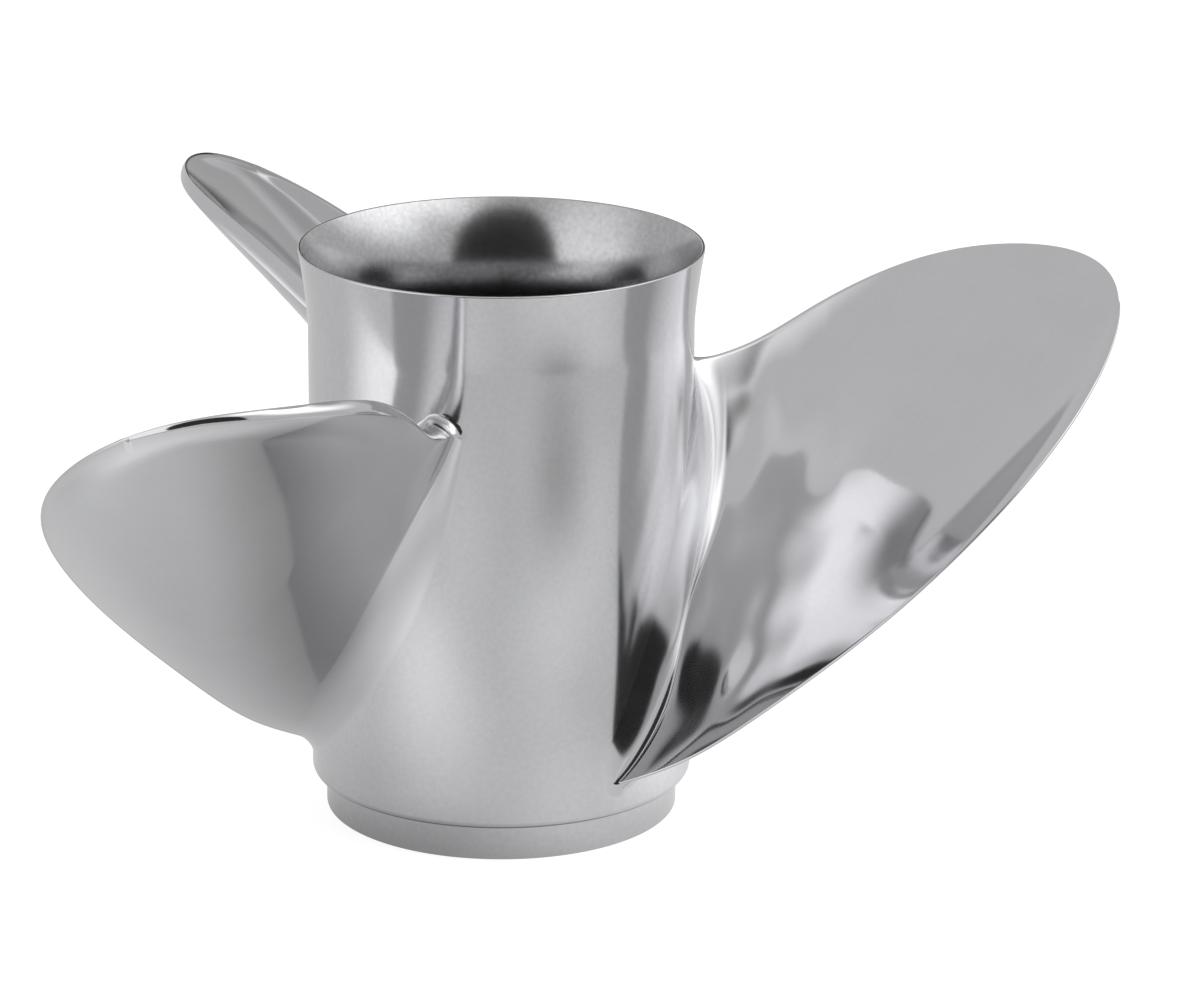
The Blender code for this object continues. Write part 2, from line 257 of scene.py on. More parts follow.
@dataclass(frozen=True)
class SteelFinish:
    """Stainless steel, polished by hand on its face and left as cast where the wheel can't reach."""

    name: str
    color: Triple = (0.592, 0.593, 0.606)
    color_swing: float = 0.1
    roughness: float = 0.09
    roughness_swing: float = 0.05
    roughness_grain: float = 0.03
    wave_height: float = 0.00003
    wave_scale: float = 22.0
    wave_detail: float = 1.0
    grain_height: float = 0.0000010
    grain_scale: Triple = (900.0, 900.0, 120.0)
    grain_detail: float = 3.0
    mottle_scale: float = 60.0
    mottle_detail: float = 3.0
    mottle_gain: float = 0.3
    fleck_scale: float = 650.0
    fleck_detail: float = 4.0
    fleck_gain: float = 0.25
    inside: "InsideFinishAndShade | None" = None

    def make(self) -> bpy.types.Material:
        """Make the material.

        Returns:
            The material.
        """
        surface = Surface(self.name)
        tree = surface.tree
        place = tree.place()
        mottle = tree.noise(place, self.mottle_scale, self.mottle_detail)
        fleck = tree.noise(place, self.fleck_scale, self.fleck_detail)
        grain = tree.noise(tree.stretched(place, self.grain_scale), 1.0, self.grain_detail)
        wave = tree.noise(place, self.wave_scale, self.wave_detail)
        swing = self.color_swing
        low, high = (tuple(c * gain for c in self.color) for gain in (1 - swing, 1 + swing))
        color = tree.mix(0.5 + mottle * self.mottle_gain + fleck * self.fleck_gain, low, high)
        rough = self.roughness + self.roughness_swing * mottle + self.roughness_grain * grain
        # The inside's darker colour is partly its duller cast finish and partly painted shade.
        if self.inside:
            mask = self.inside.mask(tree, place)
            blotch = mottle + fleck * self.inside.fleck_share
            color = self.inside.darkened(tree, place, color, mask, blotch)
            rough = rough + mask * self.inside.roughness_gain
        height = wave * self.wave_height + grain * self.grain_height
        return surface.dressed(
            {"Base Color": color, "Metallic": 1.0, "Roughness": rough, "Normal": tree.bump(height)}
        )


@dataclass(frozen=True)
class InsideFinishAndShade:
    """The barrel's inside: a duller finish that the wheel reaches only near the rim, and painted shade
    that grows darker down the bore.

    Its heights are in object coordinates.
    """

    wall_near: float = 0.0002
    wall_far: float = 0.0006
    mouth_shade: float = 0.78
    deep_shade: float = 0.40
    mouth_bottom: float = 0.0650
    mouth_top: float = 0.0790
    mouth_swing: float = 0.004
    mottling: float = 0.2
    fleck_share: float = 1.6
    roughness_gain: float = 0.04
    spigot_inside: float = 0.0519
    spigot_fade: float = 0.0004
    spigot_top: float = -0.0735
    spigot_top_fade: float = 0.0005

    def mask(self, tree: NodeTree, place: Value) -> Value:
        """Return where the place is inside the barrel's wall.

        Args:
            tree: The material's tree.
            place: Object coordinates.

        Returns:
            1 inside and 0 on the outside.
        """
        x, y, z = tree.parts(place)
        radius = x.hypot(y)
        rise = ((z - (FORWARD_FACE + FLARE_START)) / FLARE_LENGTH).math("MAXIMUM", 0.0)
        outside = rise**FLARE_POWER * FLARE_GROWTH + BARREL_RADIUS
        depth = (outside - radius).step(self.wall_near, self.wall_far)
        spigot = (self.spigot_inside - radius).step(0.0, self.spigot_fade)
        above = z.step(self.spigot_top, self.spigot_top + self.spigot_top_fade)
        return depth * above.math("MAXIMUM", spigot)

    def darkened(self, tree: NodeTree, place: Value, color: Value, mask: Value, blotch: Value) -> Value:
        """Return the steel's colour with the inside darkened by its duller finish and by painted shade.

        Args:
            tree: The material's tree.
            place: Object coordinates.
            color: The steel's colour.
            mask: Where the inside is.
            blotch: Noise that breaks up the shade.

        Returns:
            The colour.
        """
        # Painted shade: from mouth_shade near the rim down to deep_shade lower in the bore.
        mouth = (tree.parts(place)[2] + blotch * self.mouth_swing).step(self.mouth_bottom, self.mouth_top)
        shade = self.deep_shade + (self.mouth_shade - self.deep_shade) * mouth
        shade = shade * (1.0 + blotch * self.mottling)
        return tree.shaded(color, 1.0 - mask * (1.0 - shade))


@dataclass(frozen=True)
class BlotchedFinish:
    """A material with soft blotches of colour and a fine relief, in rings where it is turned."""

    name: str
    dark: Triple
    light: Triple
    metallic: float
    blotch_scale: float
    blotch_detail: float
    roughness: float
    roughness_swing: float
    relief_scale: float
    relief_detail: float
    relief_height: float
    turned: bool

    def make(self) -> bpy.types.Material:
        """Make the material.

        Returns:
            The material.
        """
        surface = Surface(self.name)
        tree = surface.tree
        place = tree.place()
        blotch = tree.noise(place, self.blotch_scale, self.blotch_detail)
        if self.turned:
            x, y, z = tree.parts(place)
            place = tree.joined(x.hypot(y), 0.0, z)
        relief = tree.noise(place, self.relief_scale, self.relief_detail)
        return surface.dressed(
            {
                "Base Color": tree.mix(blotch + 0.5, self.dark, self.light),
                "Metallic": self.metallic,
                "Roughness": self.roughness + self.roughness_swing * blotch,
                "Normal": tree.bump(relief * self.relief_height),
            }
        )


POLISHED_FACE = SteelFinish("polished_steel_face")
# The barrel's inside takes a duller finish and painted shade that darkens it down the bore.
SATIN_BARREL = SteelFinish("satin_steel_barrel", roughness=0.13, fleck_gain=0.75, inside=InsideFinishAndShade())
CAST_INSIDE = SteelFinish("cast_steel_inside", roughness=0.40)
MOULDED_RUBBER = BlotchedFinish(
    name="moulded_rubber",
    dark=(0.012, 0.012, 0.013),
    light=(0.030, 0.030, 0.031),
    metallic=0.0,
    blotch_scale=70.0,
    blotch_detail=3.0,
    roughness=0.62,
    roughness_swing=0.2,
    relief_scale=900.0,
    relief_detail=3.0,
    relief_height=0.00008,
    turned=False,
)
TURNED_BRASS = BlotchedFinish(
    name="turned_brass",
    dark=(0.52, 0.36, 0.15),
    light=(0.78, 0.58, 0.29),
    metallic=1.0,
    blotch_scale=120.0,
    blotch_detail=4.0,
    roughness=0.30,
    roughness_swing=0.25,
    relief_scale=2500.0,
    relief_detail=2.0,
    relief_height=0.00001,
    turned=True,
)


# Meshes and objects
def face_outwards(mesh: bpy.types.Mesh) -> None:
    """Turn a closed mesh's faces outwards and shade them smooth.

    Args:
        mesh: The mesh.
    """
    shape = bmesh.new()
    shape.from_mesh(mesh)
    bmesh.ops.recalc_face_normals(shape, faces=shape.faces)
    shape.to_mesh(mesh)
    shape.free()
    mesh.shade_smooth()


def mesh_of(name: str, points: np.ndarray, faces: list[tuple[int, ...]]) -> bpy.types.Mesh:
    """Make a smooth mesh with its faces turned outwards.

    Args:
        name: The mesh's name.
        points: Its points, one to a row.
        faces: The points of each face.

    Returns:
        The mesh.
    """
    mesh = bpy.data.meshes.new(name)
    mesh.from_pydata([tuple(p) for p in points], [], faces)
    face_outwards(mesh)
    return mesh


def tube_faces(rings: int, count: int) -> list[tuple[int, ...]]:
    """Return the faces of rings of points that follow each other, closed at both ends.

    Args:
        rings: How many rings there are.
        count: How many points a ring has.

    Returns:
        The points of each face.
    """
    index = np.arange(rings * count).reshape(rings, count)
    after = np.roll(index, -1, axis=1)
    sides = np.stack((index[:-1], index[1:], after[1:], after[:-1]), -1).reshape(-1, 4)
    return [tuple(face) for face in (*sides.tolist(), index[0].tolist(), index[-1, ::-1].tolist())]


def add_piece(
    name: str, mesh: bpy.types.Mesh, material: bpy.types.Material, slot: Slot, nodes: list[str]
) -> bpy.types.Object:
    """Add a finished piece, which rides on the body and stands for the nodes.

    Args:
        name: The piece's name.
        mesh: Its mesh, in place.
        material: Its material.
        slot: A slot of the record; not used.
        nodes: The solids that it stands for.

    Returns:
        The object.
    """
    mesh.name = name
    mesh.materials.clear()
    mesh.materials.append(material)
    piece = bpy.data.objects.new(name, mesh)
    bpy.context.scene.collection.objects.link(piece)
    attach(piece, BODY)
    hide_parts(*nodes)
    log.info("%s: %d faces", name, len(mesh.polygons))
    return piece


def applied(name: str, tree: bpy.types.NodeTree, mesh: bpy.types.Mesh, values: dict) -> bpy.types.Mesh:
    """Run a geometry tree on a mesh and return what it makes as a plain mesh.

    Args:
        name: The name for the new mesh.
        tree: The geometry tree.
        mesh: The mesh that goes in.
        values: The tree's inputs by name.

    Returns:
        The plain mesh.
    """
    holder = bpy.data.objects.new(f"{name}_holder", mesh)
    bpy.context.scene.collection.objects.link(holder)
    modifier = holder.modifiers.new(tree.name, "NODES")
    modifier.node_group = tree
    for item in tree.interface.items_tree:
        if getattr(item, "in_out", "") == "INPUT" and item.name in values:
            modifier[item.identifier] = values[item.name]
    graph = bpy.context.evaluated_depsgraph_get()
    made = bpy.data.meshes.new_from_object(holder.evaluated_get(graph), depsgraph=graph)
    holder.modifiers.remove(modifier)
    bpy.data.objects.remove(holder)
    made.name = name
    return made


def geometry_tree(name: str, inputs: dict[str, str]) -> tuple[NodeTree, Value, list[Value]]:
    """Start a geometry tree with named inputs.

    Args:
        name: The tree's name.
        inputs: The inputs' socket types by name, after the geometry.

    Returns:
        The tree, the geometry that goes in and the named inputs.
    """
    group = bpy.data.node_groups.new(name, "GeometryNodeTree")
    for way in ("INPUT", "OUTPUT"):
        group.interface.new_socket("Geometry", in_out=way, socket_type="NodeSocketGeometry")
    for label, kind in inputs.items():
        group.interface.new_socket(label, in_out="INPUT", socket_type=kind)
    tree = NodeTree(group)
    first = tree.node("NodeGroupInput")
    return tree, first, [Value(tree, first.socket.node.outputs[label]) for label in inputs]


def finish_tree(tree: NodeTree, geometry: Value, material: Value) -> bpy.types.NodeTree:
    """End a geometry tree in Realize Instances and Set Material.

    Args:
        tree: The tree.
        geometry: What it has made.
        material: The material's input.

    Returns:
        The tree's node group.
    """
    real = tree.node("GeometryNodeRealizeInstances", None, {0: geometry})
    dressed = tree.node("GeometryNodeSetMaterial", None, {"Geometry": real, "Material": material})
    tree.node("NodeGroupOutput", None, {0: dressed})
    return tree.tree


def pattern_tree() -> bpy.types.NodeTree:
    """Make the tree that repeats a shape round the shaft.

    Returns:
        The tree.
    """
    sockets = {"Count": "NodeSocketInt", "Start": "NodeSocketFloat", "Material": "NodeSocketMaterial"}
    tree, shape, (count, start, material) = geometry_tree("round_pattern", sockets)
    line = tree.node("GeometryNodeMeshLine", None, {"Count": count, "Offset": (0.0, 0.0, 0.0)})
    angle = tree.node("GeometryNodeInputIndex") * (2 * pi) / count + start
    rotation = tree.joined(0.0, 0.0, angle)
    inputs = {"Points": line, "Instance": shape, "Rotation": rotation}
    return finish_tree(tree, tree.node("GeometryNodeInstanceOnPoints", None, inputs), material)


def turning_tree() -> bpy.types.NodeTree:
    """Make the tree that turns a section round the shaft.

    Returns:
        The tree.
    """
    sockets = {"Steps": "NodeSocketInt", "Material": "NodeSocketMaterial"}
    tree, wire, (steps, material) = geometry_tree("turning", sockets)
    section = tree.node("GeometryNodeMeshToCurve", None, {"Mesh": wire})
    circle = tree.node("GeometryNodeCurvePrimitiveCircle", None, {"Resolution": steps, "Radius": 1.0})
    body = tree.node("GeometryNodeCurveToMesh", None, {"Curve": circle, "Profile Curve": section})
    return finish_tree(tree, body, material)


def repeated(
    mesh: bpy.types.Mesh, count: int, start: float, material: bpy.types.Material
) -> bpy.types.Mesh:
    """Repeat a shape round the shaft.

    Args:
        mesh: The shape, at the first place.
        count: How many times it stands there.
        start: The turn of the first, in degrees.
        material: The material that the tree sets.

    Returns:
        All of them in one mesh.
    """
    tree = bpy.data.node_groups.get("round_pattern") or pattern_tree()
    values = {"Count": count, "Start": radians(start), "Material": material}
    return applied(f"{mesh.name}s", tree, mesh, values)


@dataclass(frozen=True)
class Corner:
    """A corner of a turned section: its radius from the axis, its height and its rounding."""

    radius: float
    height: float
    rounding: float = 0.0

    def point(self) -> Vector:
        """Return its place in the section."""
        return Vector((self.radius, self.height))


@dataclass
class Lathe:
    """Turns closed sections round the shaft."""

    steps: int = 360
    arc_step: float = radians(9.0)
    guard: float = 0.00015

    def rounded(self, corners: list[Corner]) -> Section:
        """Return a closed section with rounded corners.

        Args:
            corners: Its corners in order.

        Returns:
            Points of radius and height.
        """
        points: Section = []
        for i, corner in enumerate(corners):
            here = corner.point()
            before = corners[i - 1].point() - here
            after = corners[(i + 1) % len(corners)].point() - here
            points += self.arc(here, before, after, corner.rounding)
        return points

    def arc(self, here: Vector, before: Vector, after: Vector, rounding: float) -> Section:
        """Return the points of one rounded corner, with a guard point beside each end.

        Args:
            here: The corner.
            before: The way back along the section.
            after: The way on along the section.
            rounding: The radius.

        Returns:
            Points of radius and height.
        """
        if rounding <= 0.0:
            return [tuple(here)]
        back, on = before.normalized(), after.normalized()
        half = back.angle(on) / 2
        reach = rounding / tan(half)
        centre = here + (back + on).normalized() * (rounding / sin(half))
        first, last = here + back * reach, here + on * reach
        sweep = pi - 2 * half
        count = max(2, int(round(sweep / self.arc_step)))
        spoke = first - centre
        sign = 1.0 if spoke.cross(last - centre) > 0 else -1.0
        turns = [Matrix.Rotation(sign * sweep * k / count, 2) for k in range(count + 1)]
        arc = [tuple(centre + turn @ spoke) for turn in turns]
        return [tuple(first + back * self.guard), *arc, tuple(last + on * self.guard)]

    def turn(self, name: str, section: Section, material: bpy.types.Material) -> bpy.types.Mesh:
        """Turn a closed section into a mesh.

        Args:
            name: The mesh's name.
            section: Points of radius and height above the forward face.
            material: The material that the tree sets.

        Returns:
            The mesh.
        """
        wire = bpy.data.meshes.new(f"{name}_section")
        points = [(radius - 1.0, -height - FORWARD_FACE, 0.0) for radius, height in section]
        wire.from_pydata(points, [(i, (i + 1) % len(points)) for i in range(len(points))], [])
        tree = bpy.data.node_groups.get("turning") or turning_tree()
        made = applied(name, tree, wire, {"Steps": self.steps, "Material": material})
        face_outwards(made)
        return made


# Casting
@dataclass
class OuterHub:
    """The barrel, its flared rim and the spigot that enters the gearcase."""

    rim_thickness: float = 0.0010
    rim_rounding: float = 0.00045
    mouth_depth: float = 0.0338
    mouth_curve: float = 15.2
    throat_depth: float = 0.044
    lining_depth: float = 0.060
    lining_bottom: float = 0.028
    straight_bottom: float = 0.020
    ring_gap: float = 0.002
    flare_rings: int = 25
    straight_rings: int = 40
    lining_rings: int = 12
    bore_rings: int = 72
    spigot_radius: float = 0.0559
    spigot_height: float = 0.0115
    spigot_bore: float = 0.0515
    spigot_bore_top: float = 0.0155
    taper_top: float = 0.0235
    shoulder_rounding: float = 0.0022
    edge_rounding: float = 0.0006

    def outside(self, height: float) -> float:
        """Return the outside's radius at a height above the forward face."""
        rise = max(0.0, height - FLARE_START) / FLARE_LENGTH
        return BARREL_RADIUS + FLARE_GROWTH * rise**FLARE_POWER

    def bore(self, height: float) -> float:
        """Return the bore's radius: a mouth that widens to the rim, above a narrower throat.

        Args:
            height: The height above the forward face.

        Returns:
            The radius.
        """
        depth = HUB_LENGTH - height
        rim = BARREL_RADIUS + FLARE_GROWTH - self.rim_thickness
        throat = rim - self.mouth_curve * self.mouth_depth**2 / 2
        mouth = self.mouth_curve * max(0.0, self.mouth_depth - depth) ** 2 / 2
        share = (depth - self.throat_depth) / (self.lining_depth - self.throat_depth)
        share = min(1.0, max(0.0, share))
        return throat + mouth + (BARREL_BORE - throat) * share * share * (3 - 2 * share)

    def section(self, lathe: Lathe) -> Section:
        """Return the closed section, down the outside and up the inside.

        Args:
            lathe: The lathe that rounds its corners.

        Returns:
            Points of radius and height.
        """
        low, top = HUB_LENGTH - self.lining_depth, HUB_LENGTH - 2 * self.rim_rounding
        flare = np.linspace(top, FLARE_START, self.flare_rings)
        straight = np.linspace(FLARE_START - self.ring_gap, self.straight_bottom, self.straight_rings)
        lining = np.linspace(self.lining_bottom, low - self.ring_gap, self.lining_rings)
        mouth = np.linspace(low, top, self.bore_rings)
        edge = self.edge_rounding
        corners = [Corner(self.outside(height), height) for height in (*flare, *straight)]
        corners += [
            Corner(BARREL_RADIUS, self.spigot_height, self.shoulder_rounding),
            Corner(self.spigot_radius, self.spigot_height, edge),
            Corner(self.spigot_radius, 0.0, edge),
            Corner(self.spigot_bore, 0.0, edge),
            Corner(self.spigot_bore, self.spigot_bore_top, edge),
            Corner(BARREL_BORE, self.taper_top, edge),
        ]
        corners += [Corner(BARREL_BORE, height) for height in lining]
        corners += [Corner(self.bore(height), height) for height in mouth]
        corners += [
            Corner(radius, HUB_LENGTH, self.rim_rounding)
            for radius in (self.bore(HUB_LENGTH), self.outside(HUB_LENGTH))
        ]
        return lathe.rounded(corners)

    def build(self, lathe: Lathe, material: bpy.types.Material) -> bpy.types.Object:
        """Build the outer hub."""
        mesh = lathe.turn("outer_hub", self.section(lathe), material)
        return add_piece("outer_hub", mesh, material, Slot.POLISHED, ["hub_barrel"])


@dataclass(frozen=True)
class Station:
    """A place on a blade's edge: its turn round the outline, -90 at the leading root and 90 at
    the trailing root, then its angle about the shaft and its height."""

    turn: float
    angle: float
    height: float


EDGE_STATIONS = (
    Station(-90, -54.2, 0.0226),
    Station(-81, -44.8, 0.0342),
    Station(-72, -37.4, 0.0509),
    Station(-54, -31.3, 0.0851),
    Station(-36, -24.1, 0.1195),
    Station(-18, -13.0, 0.1491),
    Station(0, -3.4, 0.1678),
    Station(18, 3.7, 0.1757),
    Station(36, 9.6, 0.1760),
    Station(54, 13.2, 0.1706),
    Station(72, 13.1, 0.1561),
    Station(81, 11.7, 0.1465),
    Station(90, 10.0, 0.1414),
)


class SmoothCurve:
    """Natural cubic spline through rows of values."""

    def __init__(self, places: list[float], values: list[tuple[float, ...]]) -> None:
        """Solve the spline.

        Args:
            places: Where the values are, in rising order.
            values: A row of values for each place.
        """
        self.places = np.array(places)
        self.values = np.array(values)
        gaps = np.diff(self.places)
        count = len(places)
        matrix = np.eye(count)
        target = np.zeros(self.values.shape)
        for i in range(1, count - 1):
            matrix[i, i - 1 : i + 2] = gaps[i - 1], 2 * (gaps[i - 1] + gaps[i]), gaps[i]
            rise = np.diff(self.values[i - 1 : i + 2], axis=0) / gaps[i - 1 : i + 1, None]
            target[i] = 6 * (rise[1] - rise[0])
        self.bends = np.linalg.solve(matrix, target)

    def at(self, place: np.ndarray) -> np.ndarray:
        """Return the rows of values at places.

        Args:
            place: The places.

        Returns:
            The values, with their row on the last axis.
        """
        i = np.clip(np.searchsorted(self.places, place) - 1, 0, len(self.places) - 2)
        gap = self.places[i + 1] - self.places[i]
        low = ((self.places[i + 1] - place) / gap)[..., None]
        high = 1 - low
        bend = (low**3 - low) * self.bends[i] + (high**3 - high) * self.bends[i + 1]
        return low * self.values[i] + high * self.values[i + 1] + bend * gap[..., None] ** 2 / 6


@dataclass(frozen=True)
class FootWidth:
    """How far the root's fillet reaches over the barrel at the leading end and at the trailing
    end, what the middle of the chord adds to their mean, and what the width comes to at the
    trailing corner."""

    lead: float
    trail: float
    swell: float
    corner: float
    corner_start: float = 0.8

    def size(self, across: np.ndarray) -> np.ndarray:
        """Return the width at shares of the chord.

        Args:
            across: The shares.

        Returns:
            The widths.
        """
        middle = np.sqrt(np.clip(4 * across * (1 - across), 0, None))
        even = self.lead + (self.trail - self.lead) * across + self.swell * middle
        near = np.clip((across - self.corner_start) / (1 - self.corner_start), 0, 1) ** 2
        return even + (self.corner - even) * near


@dataclass(frozen=True)
class FilletHeight:
    """How far the root's fillet climbs the face, at shares of the chord."""

    shares: tuple[float, ...]
    heights: tuple[float, ...]

    def size(self, across: np.ndarray) -> np.ndarray:
        """Return the height at shares of the chord."""
        curve = SmoothCurve(list(self.shares), [(height,) for height in self.heights])
        return curve.at(across)[..., 0]


@dataclass(frozen=True)
class Hill:
    """A soft hill on a blade's face: its height, its middle over the chord and over the reach,
    and its size over both."""

    height: float
    across: float
    reach: float
    width: float
    length: float

    def at(self, across: np.ndarray, reach: np.ndarray) -> np.ndarray:
        """Return its height at shares of the chord and the reach."""
        side, out = (across - self.across) / self.width, (reach - self.reach) / self.length
        return self.height * np.exp(-(side**2) - out**2)


@dataclass(frozen=True)
class FaceForm:
    """How the casting's hand-finished face departs from the even helix, towards the suction side.

    Each field is the size of one smooth term over the chord and the reach. The hills at an edge
    fade out towards the other edge, and those of the net towards both.
    """

    root: float
    root_skew: float
    rise: float
    rise_square: float
    skew: float
    skew_square: float
    ends: float
    low: float
    trail_root: float = 0.0
    trail_edge: float = 0.0
    trail_corner: float = 0.0
    lead_root: float = 0.0
    lead_rise: float = 0.0
    lead_edge: float = 0.0
    lead_hills: tuple[Hill, ...] = ()
    trail_hills: tuple[Hill, ...] = ()
    net: tuple[tuple[float, ...], ...] = ()
    net_across: tuple[float, ...] = (0.12, 0.30, 0.50, 0.70, 0.88)
    net_reach: tuple[float, ...] = (0.05, 0.13, 0.22, 0.33)
    net_width: float = 0.11
    net_lengths: tuple[float, ...] = (0.055, 0.055, 0.055, 0.09)
    edge_power: int = 8
    corner_power: int = 6

    def offset(self, across: np.ndarray, reach: np.ndarray) -> np.ndarray:
        """Return the departure at shares of the chord and the reach.

        Args:
            across: Shares of the chord.
            reach: Shares of the reach.

        Returns:
            The departures.
        """
        side = 2 * across - 1
        back, down = 1 - across, 1 - reach
        arch = 4 * across * back
        total = self.root + self.root_skew * side
        total = total + (self.rise + self.skew * side + self.ends * side * side) * reach
        total = total + (self.rise_square + self.skew_square * side) * reach * reach
        total = total + self.low * reach * down**3
        main = arch * np.sqrt(np.clip(1 - reach * reach, 0.0, None)) * total
        trail = self.trail_root * across**3 * down**3
        corner = self.trail_edge * down**2 + self.trail_corner * down**self.corner_power
        trail = trail + corner * across**self.edge_power
        lead = (self.lead_root + self.lead_rise * reach) * (back * down) ** 3
        lead = lead + self.lead_edge * back**self.edge_power * down**2
        lead = lead + self.summed(self.lead_hills, across, reach)
        trail = trail + self.summed(self.trail_hills, across, reach)
        net = self.summed(self.net_hills(), across, reach)
        return main + trail * back + lead * across + arch * net

    def net_hills(self) -> list[Hill]:
        """Return the net's hills.

        Returns:
            A hill for each of its heights.
        """
        return [
            Hill(height, across, reach, self.net_width, length)
            for across, heights in zip(self.net_across, self.net)
            for reach, length, height in zip(self.net_reach, self.net_lengths, heights)
        ]

    def summed(self, hills: Iterable[Hill], across: np.ndarray, reach: np.ndarray) -> np.ndarray:
        """Return the height of some hills together, at shares of the chord and the reach."""
        return sum((hill.at(across, reach) for hill in hills), np.zeros(np.shape(across)))


@dataclass
class Blade:
    """One blade, as a loft between its pressure face and its suction face."""

    base: float = BARREL_RADIUS + FOOT_GAP
    tip: float = 0.1911
    columns: int = 150
    rows: int = 110
    strips: int = 12
    row_grading: float = 1.9
    camber: float = 0.030
    cup_length: float = 0.013
    cup_lift: float = 0.0025
    root_bulge: float = 0.0065
    tip_bulge: float = 0.0012
    lead_thickness: float = 0.0011
    trail_thickness: float = 0.0076
    trail_taper: float = 0.0032
    tip_taper_power: float = 0.25
    lead_roundness: float = 1.0
    trail_roundness: float = 0.3
    least_turn: float = radians(0.5)
    edge_step: float = radians(1.0)
    root_depth: float = 0.0008
    cup_reach: float = 0.35
    pressure_form: FaceForm = FaceForm(
        root=-0.01183,
        root_skew=-0.00804,
        rise=0.02505,
        rise_square=-0.01575,
        skew=-0.00815,
        skew_square=0.01459,
        ends=-0.01249,
        low=0.02974,
        trail_root=0.13770,
        trail_edge=-0.00751,
        trail_corner=-0.06394,
        lead_root=0.07099,
        lead_rise=-0.72570,
        lead_edge=-0.01206,
        lead_hills=(Hill(0.00293, 0.18, 0.09, 0.13, 0.06), Hill(-0.00234, 0.18, 0.17, 0.13, 0.07)),
        trail_hills=(Hill(0.00125, 0.86, 0.10, 0.09, 0.05), Hill(0.00285, 0.84, 0.17, 0.12, 0.06)),
        net=(
            (0.00014, 0.00135, 0.00262, 0.00214),
            (-0.00064, -0.00009, 0.00086, 0.00103),
            (0.00011, 0.00013, 0.00026, 0.00050),
            (0.00121, 0.00064, 0.00015, -0.00064),
            (-0.00043, 0.00010, -0.00214, -0.00067),
        ),
    )
    suction_form: FaceForm = FaceForm(
        root=0.00260,
        root_skew=-0.00419,
        rise=-0.01017,
        rise_square=0.00476,
        skew=-0.00701,
        skew_square=-0.00183,
        ends=-0.00043,
        low=-0.04242,
    )
    pressure_foot: FootWidth = FootWidth(0.0040, 0.0090, 0.0085, 0.0032)
    pressure_climb: FilletHeight = FilletHeight(
        (0.0, 0.22, 0.45, 0.65, 0.82, 1.0), (0.0017, 0.0051, 0.0035, 0.0100, 0.0109, 0.0109)
    )
    suction_foot: FootWidth = FootWidth(0.0050, 0.0045, 0.0040, 0.0045)

    def __post_init__(self) -> None:
        """Make the edge's curve."""
        places = [radians(s.turn) for s in EDGE_STATIONS]
        self.edge = SmoothCurve(places, [(radians(s.angle), s.height) for s in EDGE_STATIONS])

    def edge_flat(self, turn: np.ndarray, radius: np.ndarray) -> np.ndarray:
        """Return the edge at turns round the outline, on the unrolled cylinders of radii."""
        edge = self.edge.at(turn)
        return np.stack((edge[..., 0] * radius, edge[..., 1]), -1)

    def section(self, reach: np.ndarray) -> tuple[np.ndarray, np.ndarray, np.ndarray]:
        """Return the chord's ends on the unrolled cylinder, and the way out of the suction face.

        Args:
            reach: Shares of the way from the root to the tip.

        Returns:
            The leading ends, the trailing ends and the unit vectors.
        """
        radius = self.radius(reach)
        turn = np.clip(np.arccos(np.clip(reach, 0.0, 1.0)), self.least_turn, pi / 2)
        lead, trail = self.edge_flat(-turn, radius), self.edge_flat(turn, radius)
        along = trail - lead
        along = along / np.linalg.norm(along, axis=-1, keepdims=True)
        return lead, trail, np.stack((along[..., 1], -along[..., 0]), -1)

    def radius(self, reach: np.ndarray) -> np.ndarray:
        """Return the radius from the shaft at shares of the reach."""
        return self.base + (self.tip - self.base) * reach

    def thickness(self, across: np.ndarray, reach: np.ndarray) -> np.ndarray:
        """Return the thickness, thin at the leading edge and thick at the trailing one.

        Args:
            across: Shares of the chord.
            reach: Shares of the reach.

        Returns:
            The thicknesses.
        """
        taper = np.clip(1 - reach * reach, 0.0, None) ** self.tip_taper_power
        swing = (self.trail_thickness - self.lead_thickness - self.trail_taper * reach) * taper
        bulge = self.root_bulge + (self.tip_bulge - self.root_bulge) * reach
        even = self.lead_thickness + swing * across + 4 * bulge * across * (1 - across)
        return even + self.suction_form.offset(across, reach) - self.pressure_form.offset(across, reach)

    def pressure_line(self, across: np.ndarray, reach: np.ndarray) -> np.ndarray:
        """Return points of the pressure face on the unrolled cylinder.

        Args:
            across: Shares of the chord.
            reach: Shares of the reach.

        Returns:
            The points.
        """
        lead, trail, suction = self.section(reach)
        chord = np.linalg.norm(trail - lead, axis=-1)
        cup = self.cup_lift * np.minimum(1.0, chord / (4 * self.cup_length))
        cup = cup * np.clip(reach / self.cup_reach, 0.0, 1.0)
        from_trail = chord * (1 - across)
        lift = cup * np.clip(1 - from_trail / self.cup_length, 0.0, None) ** 2 - cup * across
        sag = 4 * self.camber * chord * across * (1 - across)
        sag = sag + self.pressure_form.offset(across, reach)
        return lead + (trail - lead) * across[..., None] + suction * (sag - lift)[..., None]

    def fillet(self, across: np.ndarray, height: np.ndarray, side: float) -> np.ndarray:
        """Return how far the root's fillet stands out.

        Args:
            across: Shares of the chord.
            height: Heights above the barrel.
            side: The place round the section, 0 on the suction face and pi on the pressure face.

        Returns:
            The distances.
        """
        share = (1 - np.cos(side)) / 2
        suction = self.suction_foot.size(across)
        width = self.pressure_foot.size(across) + self.pressure_form.offset(across, 0 * across)
        width = suction + (width - suction) * share
        climb = suction + (self.pressure_climb.size(across) - suction) * share
        left = np.clip(1 - height / climb, 0.0, 1.0)
        return width * (1 - np.sqrt(1 - left * left))

    def place(self, flat: np.ndarray, radius: np.ndarray) -> np.ndarray:
        """Roll points of unrolled cylinders onto their radii, above the forward face."""
        angle = flat[..., 0] / radius
        return np.stack((radius * np.cos(angle), radius * np.sin(angle), flat[..., 1]), -1)

